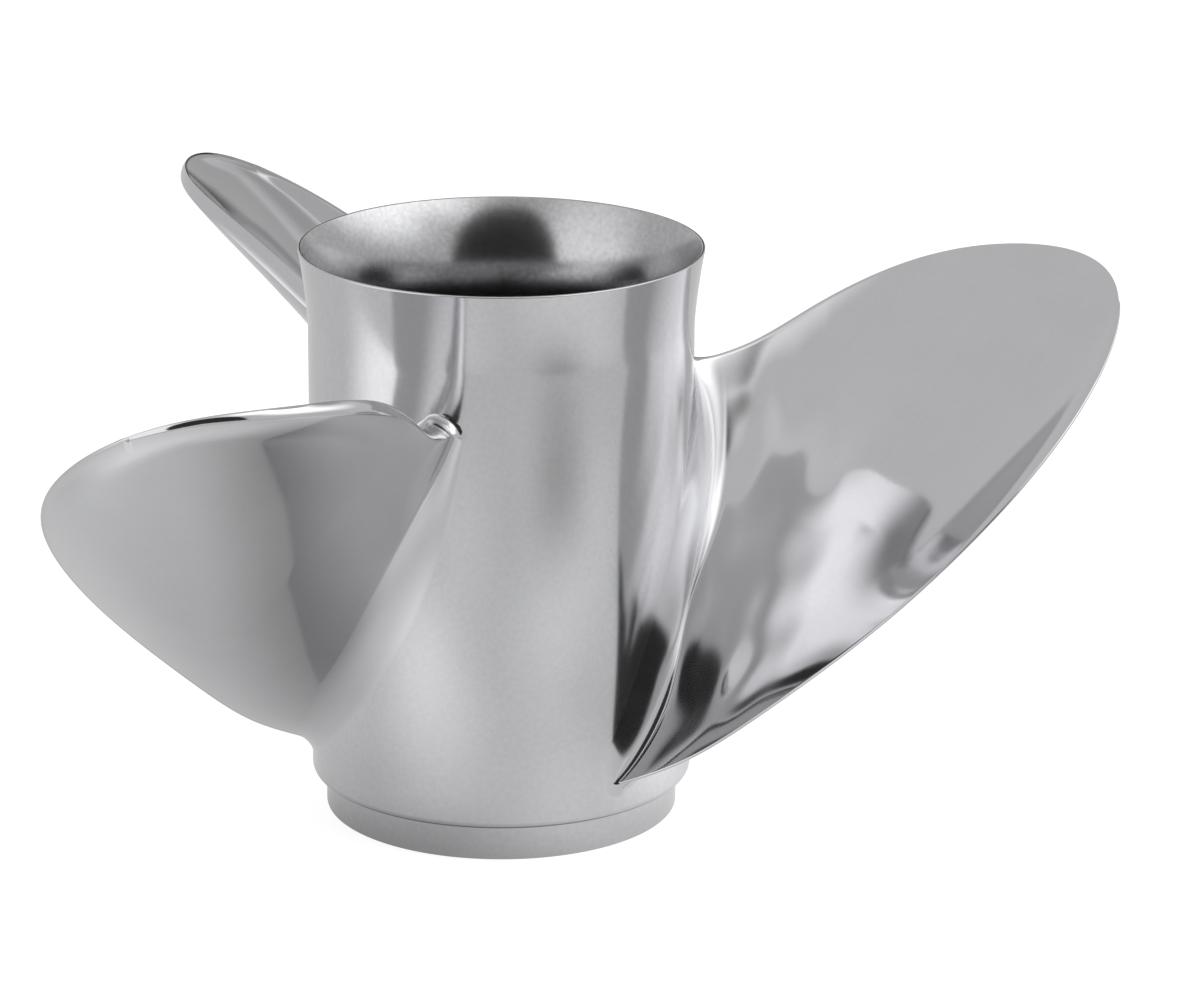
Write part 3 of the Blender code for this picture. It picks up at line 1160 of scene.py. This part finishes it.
    def edge_middle(self, turn: np.ndarray) -> np.ndarray:
        """Return the middle of the edge at turns round the outline.

        Args:
            turn: The turns, in radians.

        Returns:
            The points.
        """
        reach = np.clip(np.cos(turn), 0.0, 1.0)
        radius = self.radius(reach)
        half = self.thickness(np.where(turn < 0, 0.0, 1.0), reach) / 2
        flat = self.edge_flat(turn, radius) + self.section(reach)[2] * half[..., None]
        return self.place(flat, radius)

    def outward(self, across: np.ndarray, reach: np.ndarray) -> np.ndarray:
        """Return the way out of the blade at its edge, square to the edge and the thickness.

        Args:
            across: 0 at the leading edge and 1 at the trailing one.
            reach: Shares of the reach.

        Returns:
            The unit vectors.
        """
        turn = np.arccos(np.clip(reach, 0.0, 1.0)) * np.where(across < 0.5, -1.0, 1.0)
        low = np.clip(turn - self.edge_step, -pi / 2, None)
        high = np.clip(turn + self.edge_step, None, pi / 2)
        run = self.edge_middle(high) - self.edge_middle(low)
        flat = self.section(reach)[2]
        angle = self.edge.at(turn)[..., 0]
        through = (-np.sin(angle) * flat[..., 0], np.cos(angle) * flat[..., 0], flat[..., 1])
        out = np.cross(np.stack(through, -1), run)
        return out / np.linalg.norm(out, axis=-1, keepdims=True)

    def points(self, across: np.ndarray, reach: np.ndarray, side: float) -> np.ndarray:
        """Return points of the surface.

        Args:
            across: Shares of the chord.
            reach: Shares of the reach.
            side: 0 on the suction face, pi on the pressure face, and between them round an edge.

        Returns:
            The points, above the forward face.
        """
        radius = self.radius(reach)
        suction = self.section(reach)[2]
        half = self.thickness(across, reach) / 2
        fillet = self.fillet(across, radius - self.base, side)
        middle = self.pressure_line(across, reach) + suction * half[..., None]
        flat = middle + suction * (np.cos(side) * (half + fillet))[..., None]
        if not 0.0 < side < pi:
            return self.place(flat, radius)
        roundness = self.lead_roundness + (self.trail_roundness - self.lead_roundness) * across
        outward = self.outward(across, reach)
        angle = flat[..., 0] / radius
        ray = np.stack((np.cos(angle), np.sin(angle), 0 * angle), -1)
        rolled = np.stack((-np.sin(angle), np.cos(angle), 0 * angle), -1)
        near = np.minimum(1.0, (radius - self.base) / self.pressure_foot.trail)
        lift = (outward * ray).sum(-1) * near
        bulge = (half * roundness + fillet) * np.sin(side)
        shift = np.stack(((outward * rolled).sum(-1), outward[..., 2]), -1)
        flat = flat + shift * bulge[..., None]
        grown = 1.0 + lift * bulge / radius
        flat = np.stack((flat[..., 0] * grown, flat[..., 1]), -1)
        return self.place(flat, radius + lift * bulge)

    def grid_place(self, column: np.ndarray, row: np.ndarray) -> tuple[np.ndarray, np.ndarray]:
        """Map grid places to shares of the chord and the reach, through a half disc.

        Args:
            column: Columns, 0 to 1.
            row: Rows, 0 to 1.

        Returns:
            The shares of the chord and of the reach.
        """
        x = 2 * column - 1
        y = row**self.row_grading
        reach = y * np.sqrt(1 - x * x / 2)
        width = np.sqrt(np.clip(1 - reach * reach, TINY, None))
        across = np.clip((x * np.sqrt(1 - y * y / 2) / width + 1) / 2, 0.0, 1.0)
        return across, reach

    def mesh(self, angle: float) -> bpy.types.Mesh:
        """Build the closed mesh of a blade: two faces, bands round the edge and a sunken root.

        Args:
            angle: The blade's turn about the shaft, in degrees.

        Returns:
            The mesh, in place.
        """
        columns, rows, strips = self.columns, self.rows, self.strips
        column, row = np.meshgrid(np.arange(columns + 1), np.arange(rows + 1), indexing="ij")
        across, reach = self.grid_place(column / columns, row / rows)
        index = np.arange(across.size).reshape(across.shape)
        points = [self.points(across, reach, side).reshape(-1, 3) for side in (0.0, pi)]
        quads = []
        for offset in (0, across.size):
            corner = index + offset
            sides = corner[:-1, :-1], corner[1:, :-1], corner[1:, 1:], corner[:-1, 1:]
            quads.append(np.stack(sides, -1).reshape(-1, 4))
        rim = [(0, j) for j in range(rows)] + [(i, rows) for i in range(columns)]
        rim += [(columns, j) for j in range(rows, -1, -1)]
        rim_index = np.array([index[place] for place in rim])
        rim_reach = reach.reshape(-1)[rim_index]
        rim_across = np.where(across.reshape(-1)[rim_index] < 0.5, 0.0, 1.0)
        bands = [rim_index]
        total = 2 * across.size
        for k in range(1, strips):
            points.append(self.points(rim_across, rim_reach, pi * k / strips))
            bands.append(np.arange(total, total + len(rim)))
            total += len(rim)
        bands.append(rim_index + across.size)
        for near, far in zip(bands, bands[1:]):
            quads.append(np.stack((near[:-1], near[1:], far[1:], far[:-1]), -1))
        loop = [*index[:, 0], *(band[-1] for band in bands[1:-1])]
        loop = np.array([*loop, *index[::-1, 0] + across.size, *(band[0] for band in bands[-2:0:-1])])
        everything = np.concatenate(points)
        ring = everything[loop]
        scale = (self.base - self.root_depth) / np.hypot(ring[:, 0], ring[:, 1])
        sunk = ring * np.stack((scale, scale, np.ones_like(scale)), -1)
        below = np.arange(total, total + len(loop))
        quads.append(np.stack((loop, np.roll(loop, -1), np.roll(below, -1), below), -1))
        faces = [tuple(quad) for quad in (*np.concatenate(quads).tolist(), below[::-1].tolist())]
        turn = radians(angle)
        spin = np.array(((cos(turn), sin(turn), 0), (-sin(turn), cos(turn), 0), (0, 0, 1)))
        everything = np.concatenate((everything, sunk)) @ spin + (0, 0, FORWARD_FACE)
        mesh = mesh_of("blade", everything, faces)
        self.smooth_root(mesh, loop)
        return mesh

    def smooth_root(self, mesh: bpy.types.Mesh, loop: np.ndarray) -> None:
        """Give the fillet's foot the barrel's own normals, so that one runs into the other.

        Args:
            mesh: The blade's mesh.
            loop: The points of the fillet's foot.
        """
        normals, places = (np.zeros(len(mesh.vertices) * 3, np.float32) for _ in range(2))
        mesh.vertex_normals.foreach_get("vector", normals)
        mesh.vertices.foreach_get("co", places)
        normals = normals.reshape(-1, 3)
        out = places.reshape(-1, 3)[loop] * (1, 1, 0)
        normals[loop] = out / np.linalg.norm(out, axis=-1, keepdims=True)
        mesh.normals_split_custom_set_from_vertices(normals.tolist())

    def build(self, number: int, angle: float, material: bpy.types.Material) -> bpy.types.Object:
        """Build the blade of a number, at its turn about the shaft in degrees."""
        name = f"polished_blade_{number}"
        return add_piece(name, self.mesh(angle), material, Slot.POLISHED, [f"blade_{number}"])


# Inside of the hub
@dataclass
class InnerHub:
    """The tube inside the barrel that holds the bushing, and the three ribs that carry it."""

    radius: float = 0.0340
    bore: float = 0.0298
    bottom: float = 0.0030
    top: float = 0.1320
    lip: float = 0.0262
    lip_height: float = 0.0060
    rounding: float = 0.0008
    rib_thickness: float = 0.0060
    rib_fillet: float = 0.0035
    rib_bottom: float = 0.0250
    rib_top: float = 0.1240
    rib_start: float = 60.0
    rib_reach: float = 0.0003
    rib_columns: int = 24
    rib_rows: int = 10
    sharp_angle: float = radians(50.0)

    def build(self, lathe: Lathe, material: bpy.types.Material) -> None:
        """Build the tube and its ribs.

        Args:
            lathe: The lathe that turns the tube.
            material: Their finish.
        """
        corners = [
            Corner(self.radius, self.top, self.rounding),
            Corner(self.radius, self.bottom, self.rounding),
            Corner(self.lip, self.bottom, self.rounding),
            Corner(self.lip, self.bottom + self.lip_height, self.rounding),
            Corner(self.bore, self.bottom + self.lip_height, self.rounding / 2),
            Corner(self.bore, self.top, self.rounding),
        ]
        mesh = lathe.turn("inner_tube", lathe.rounded(corners), material)
        add_piece("inner_tube", mesh, material, Slot.SATIN, ["inner_hub"])
        nodes = ["rib_1", "rib_2", "rib_3"]
        ribs = repeated(self.rib_mesh(), len(nodes), self.rib_start, material)
        ribs.shade_smooth()
        ribs.set_sharp_from_angle(angle=self.sharp_angle)
        add_piece("ribs", ribs, material, Slot.SATIN, nodes)

    def half_width(self, radius: float) -> float:
        """Return half the rib's width, with its fillets, at a radius.

        Args:
            radius: The radius from the shaft.

        Returns:
            Half the width.
        """
        width = self.rib_thickness / 2
        for distance in (radius - self.radius, BARREL_BORE - radius):
            inside = self.rib_fillet - max(0.0, distance)
            if inside > 0:
                width += self.rib_fillet - sqrt(self.rib_fillet**2 - inside**2)
        return width

    def rib_mesh(self) -> bpy.types.Mesh:
        """Make one rib, along X, with fillets at both ends and rounded edges above and below.

        Returns:
            The mesh.
        """
        start, end = self.radius - self.rib_reach, BARREL_BORE + self.rib_reach
        half_thickness = self.rib_thickness / 2
        half_height = (self.rib_top - self.rib_bottom) / 2 - half_thickness
        middle = (self.rib_top + self.rib_bottom) / 2 + FORWARD_FACE
        points = []
        for i in range(self.rib_columns + 1):
            radius = start + (end - start) * (0.5 - 0.5 * cos(pi * i / self.rib_columns))
            width = self.half_width(radius)
            for sign, start_angle in ((1, 0.0), (-1, pi)):
                for k in range(self.rib_rows + 1):
                    angle = start_angle + pi * k / self.rib_rows
                    across = width * cos(angle)
                    up = sign * half_height + half_thickness * sin(angle)
                    points.append((sqrt(max(0.0, radius**2 - across**2)), across, middle + up))
        faces = tube_faces(self.rib_columns + 1, 2 * (self.rib_rows + 1))
        return mesh_of("rib", np.array(points), faces)


@dataclass
class Bushing:
    """The rubber bushing bonded between the inner tube and the sleeve."""

    outer: float = 0.0295
    inner: float = 0.0181
    bottom: float = 0.0093
    top: float = 0.1120
    dish: float = 0.0012
    rings: int = 12
    sharp_angle: float = radians(40.0)

    def build(self, lathe: Lathe, material: bpy.types.Material) -> bpy.types.Object:
        """Build the bushing, whose ends are dished between its bonded edges.

        Args:
            lathe: The lathe that turns it.
            material: Its finish.

        Returns:
            The piece.
        """
        shares = [i / self.rings for i in range(self.rings + 1)]
        width = self.outer - self.inner
        down = [(self.inner + width * s, self.top - 4 * self.dish * s * (1 - s)) for s in shares]
        up = [(self.outer - width * s, self.bottom + 4 * self.dish * s * (1 - s)) for s in shares]
        mesh = lathe.turn("bushing", down + up, material)
        mesh.set_sharp_from_angle(angle=self.sharp_angle)
        return add_piece("bushing", mesh, material, Slot.RUBBER, ["rubber_bushing"])


@dataclass
class Sleeve:
    """The brass sleeve that slides on the shaft's splines."""

    radius: float = 0.0178
    bottom: float = 0.0060
    top: float = 0.1180
    rounding: float = 0.0006
    bore: float = 0.0145
    spline_count: int = 15
    spline_tip: float = 0.0126
    spline_root_width: float = 0.0034
    spline_tip_width: float = 0.0022
    spline_inset: float = 0.0012
    spline_end: float = 0.2
    sharp_angle: float = radians(35.0)

    def build(self, lathe: Lathe, material: bpy.types.Material) -> bpy.types.Object:
        """Build the sleeve and its splines.

        Args:
            lathe: The lathe that turns the tube.
            material: Their finish.

        Returns:
            The piece.
        """
        outline = (
            (self.radius, self.top),
            (self.radius, self.bottom),
            (self.bore, self.bottom),
            (self.bore, self.top),
        )
        corners = [Corner(radius, height, self.rounding) for radius, height in outline]
        tube = lathe.turn("sleeve_tube", lathe.rounded(corners), material)
        joined = bmesh.new()
        joined.from_mesh(tube)
        joined.from_mesh(repeated(self.spline_mesh(), self.spline_count, 0.0, material))
        mesh = bpy.data.meshes.new("sleeve")
        joined.to_mesh(mesh)
        joined.free()
        mesh.shade_smooth()
        mesh.set_sharp_from_angle(angle=self.sharp_angle)
        return add_piece("sleeve", mesh, material, Slot.BRASS, ["splined_sleeve"])

    def spline_mesh(self) -> bpy.types.Mesh:
        """Make one spline, with its ends drawn in.

        Returns:
            The mesh.
        """
        root, tip, inset = self.bore + self.spline_inset / 2, self.spline_tip, self.spline_inset
        low, high = self.bottom + inset + FORWARD_FACE, self.top - inset + FORWARD_FACE
        wide, narrow = self.spline_root_width / 2, self.spline_tip_width / 2
        outline = ((root, -wide), (tip, -narrow), (tip, narrow), (root, wide))
        ends = ((low, self.spline_end), (low + inset, 1.0), (high - inset, 1.0), (high, self.spline_end))
        points = [
            (root + (radius - root) * share, width, height)
            for height, share in ends
            for radius, width in outline
        ]
        return mesh_of("spline", np.array(points), tube_faces(len(ends), len(outline)))


# Studio
@dataclass(frozen=True)
class Panel:
    """A part of the tent's wall with a brightness of its own, by where it stands round the object.

    Angles are in degrees. Azimuth is 0 towards the camera and grows towards the camera's right.
    Width and height run from the middle to the edge, and corners run from 2, a full oval, to
    square at high numbers. Softness is the share of the way in over which the edge fades.
    """

    azimuth: float
    elevation: float
    width: float
    height: float
    level: float
    softness: float
    corners: float

    def mask(self, azimuth: Value, elevation: Value) -> Value:
        """Return where the panel covers the tent's wall.

        Args:
            azimuth: The azimuth looked at, in radians.
            elevation: The elevation looked at, in radians.

        Returns:
            1 inside the panel and 0 outside it.
        """
        across = abs((azimuth - radians(self.azimuth)).math("WRAP", pi, -pi)) / radians(self.width)
        up = abs(elevation - radians(self.elevation)) / radians(self.height)
        distance = (across**self.corners + up**self.corners) ** (1 / self.corners)
        return 1.0 - distance.step(1.0 - self.softness, 1.0)


TENT_PANELS = (
    Panel(-56.5, -15.2, 52.6, 76.5, 1.34, 0.59, 2.0),
    Panel(94.1, 36.1, 59.7, 24.6, 1.95, 0.62, 3.7),
    Panel(72.4, 43.9, 79.5, 18.8, 2.22, 0.80, 8.0),
    Panel(147.3, 34.8, 62.2, 17.4, 0.48, 0.75, 2.2),
    Panel(164.0, 6.0, 16.0, 18.0, 0.50, 0.30, 3.0),
    Panel(175.0, 12.0, 9.5, 24.0, 0.03, 0.60, 2.5),
    Panel(108.7, 54.1, 32.0, 12.0, 0.59, 0.04, 3.0),
    Panel(-2.2, 5.0, 36.4, 33.2, 0.04, 0.09, 2.5),
)


@dataclass(frozen=True)
class Pool:
    """Soft pool of light or shade on the table, in metres from the propeller's axis."""

    x: float
    y: float
    width: float
    depth: float
    gain: float


TABLE_POOLS = (
    Pool(-0.156, -0.174, 0.202, 0.133, 0.37),
    Pool(-0.021, -0.027, 0.076, 0.095, -0.37),
    Pool(0.110, -0.004, 0.067, 0.098, 0.51),
    Pool(0.295, -0.004, 0.040, 0.174, -0.58),
    Pool(0.263, -0.416, 0.188, 0.200, -0.24),
    Pool(-0.085, -0.050, 0.080, 0.082, -0.08),
    Pool(0.066, -0.105, 0.096, 0.145, 0.16),
    Pool(-0.004, -0.224, 0.095, 0.187, 0.01),
    Pool(-0.151, -0.354, 0.203, 0.207, 0.13),
    Pool(0.122, -0.264, 0.190, 0.122, 0.19),
    Pool(0.283, -0.216, 0.244, 0.174, 0.16),
    Pool(-0.188, -0.009, 0.122, 0.127, 0.06),
)


@dataclass
class Studio:
    """White tent, pale floor, camera and what lights them."""

    tent_level: float = 0.71
    floor_size: float = 12.0
    floor_color: float = 0.4
    floor_roughness: float = 0.9
    floor_glow: float = 0.80
    table_drop: float = 0.0002
    table_left: float = -0.395
    table_level: float = 0.69
    backdrop_radius: float = 5.9
    backdrop_segments: int = 64
    backdrop_rings: int = 32
    camera_distance: float = 1.534
    camera_elevation: float = radians(17.33)
    target_height: float = 0.100
    lens: float = 145.89
    sensor_width: float = 36.0
    shift_x: float = 0.0823
    bounces: int = 16
    glossy_bounces: int = 12
    diffuse_bounces: int = 4
    clamp: float = 4.0

    def build(self) -> None:
        """Build the studio and set how its light is followed."""
        self.add_camera()
        self.add_floor()
        self.add_table()
        self.add_backdrop()
        self.add_tent()
        scene = bpy.context.scene
        scene.view_settings.view_transform = "Standard"
        scene.cycles.max_bounces = self.bounces
        scene.cycles.glossy_bounces = self.glossy_bounces
        scene.cycles.diffuse_bounces = self.diffuse_bounces
        scene.cycles.sample_clamp_indirect = self.clamp

    def add_camera(self) -> None:
        """Add the camera at the photograph's angle."""
        data = bpy.data.cameras.new("camera")
        data.lens = self.lens
        data.sensor_width = self.sensor_width
        data.shift_x = self.shift_x
        camera = bpy.data.objects.new("camera", data)
        back = self.camera_distance * cos(self.camera_elevation)
        up = self.camera_distance * sin(self.camera_elevation)
        camera.location = (0.0, -back, FORWARD_FACE + self.target_height + up)
        camera.rotation_euler = (pi / 2 - self.camera_elevation, 0.0, 0.0)
        bpy.context.scene.collection.objects.link(camera)
        bpy.context.scene.camera = camera

    def add_floor(self) -> None:
        """Add the pale floor that the camera sees the object stand on."""
        half = self.floor_size / 2
        material = Surface("pale_floor").dressed(
            {
                "Base Color": (*[self.floor_color] * 3, 1.0),
                "Roughness": self.floor_roughness,
                "Emission Color": WHITE,
                "Emission Strength": self.floor_glow,
            }
        )
        self.add_stage(self.sheet("floor", -half, FORWARD_FACE), material, camera=True)

    def add_table(self) -> None:
        """Add the table's paper, which the polish mirrors, with its pools of light and shade."""
        surface = Surface("table_paper")
        x, y, _ = surface.tree.parts(surface.tree.place())
        level: Value | float = self.table_level
        for pool in TABLE_POOLS:
            reach = ((x - pool.x) / pool.width).hypot((y - pool.y) / pool.depth)
            level = level + (1.0 - reach.step(0.0, 1.0)) * pool.gain
        material = surface.glowing(surface.tree.joined(level, level, level))
        sheet = self.sheet("table_paper", self.table_left, FORWARD_FACE - self.table_drop)
        self.add_stage(sheet, material, camera=False)

    def add_backdrop(self) -> None:
        """Add the white backdrop that closes the view above the floor."""
        mesh = bpy.data.meshes.new("backdrop")
        shape = bmesh.new()
        steps = {"u_segments": self.backdrop_segments, "v_segments": self.backdrop_rings}
        bmesh.ops.create_uvsphere(shape, radius=self.backdrop_radius, **steps)
        bmesh.ops.reverse_faces(shape, faces=shape.faces)
        shape.to_mesh(mesh)
        shape.free()
        self.add_stage(mesh, Surface("white_backdrop").glowing(WHITE), camera=True)

    def sheet(self, name: str, left: float, height: float) -> bpy.types.Mesh:
        """Make a flat sheet as large as the floor, cut off at its left end.

        Args:
            name: Its name.
            left: The place of its left end.
            height: Its height.

        Returns:
            The mesh.
        """
        half = self.floor_size / 2
        mesh = bpy.data.meshes.new(name)
        corners = [(left, -half), (half, -half), (half, half), (left, half)]
        mesh.from_pydata([(x, y, height) for x, y in corners], [], [(0, 1, 2, 3)])
        return mesh

    def add_stage(self, mesh: bpy.types.Mesh, material: bpy.types.Material, camera: bool) -> None:
        """Add a piece of the stage, shown either to the camera alone or to the polish alone.

        Args:
            mesh: Its mesh.
            material: Its material.
            camera: Whether the camera sees it.
        """
        mesh.materials.append(material)
        item = bpy.data.objects.new(mesh.name, mesh)
        bpy.context.scene.collection.objects.link(item)
        item.visible_camera = camera
        item.visible_glossy = not camera
        item.visible_diffuse = not camera
        item.visible_transmission = not camera
        item.visible_shadow = False

    def add_tent(self) -> None:
        """Light the scene from all round, through the world, with the panels in its wall."""
        world = bpy.data.worlds.new("tent")
        world.use_nodes = True
        bpy.context.scene.world = world
        tree = NodeTree(world.node_tree)
        x, y, z = tree.parts(tree.node("ShaderNodeTexCoord", None, None, "Generated"))
        azimuth, elevation = x.math("ARCTAN2", y * -1.0), z.math("ARCSINE")
        level: Value | float = self.tent_level
        for panel in TENT_PANELS:
            level = level + (panel.level - level) * panel.mask(azimuth, elevation)
        tree.fill(world.node_tree.nodes["Background"], {"Color": WHITE, "Strength": level})


def main() -> None:
    """Build the propeller and its studio."""
    logging.basicConfig(level=logging.INFO, format="%(name)s: %(message)s")
    polish, satin, cast = (finish.make() for finish in (POLISHED_FACE, SATIN_BARREL, CAST_INSIDE))
    lathe = Lathe()
    OuterHub().build(lathe, satin)
    blade = Blade()
    for number, angle in enumerate(BLADE_ANGLES, start=1):
        blade.build(number, angle, polish)
    InnerHub().build(lathe, cast)
    Bushing().build(lathe, MOULDED_RUBBER.make())
    Sleeve().build(lathe, TURNED_BRASS.make())
    Studio().build()


if __name__ == "__main__":
    main()
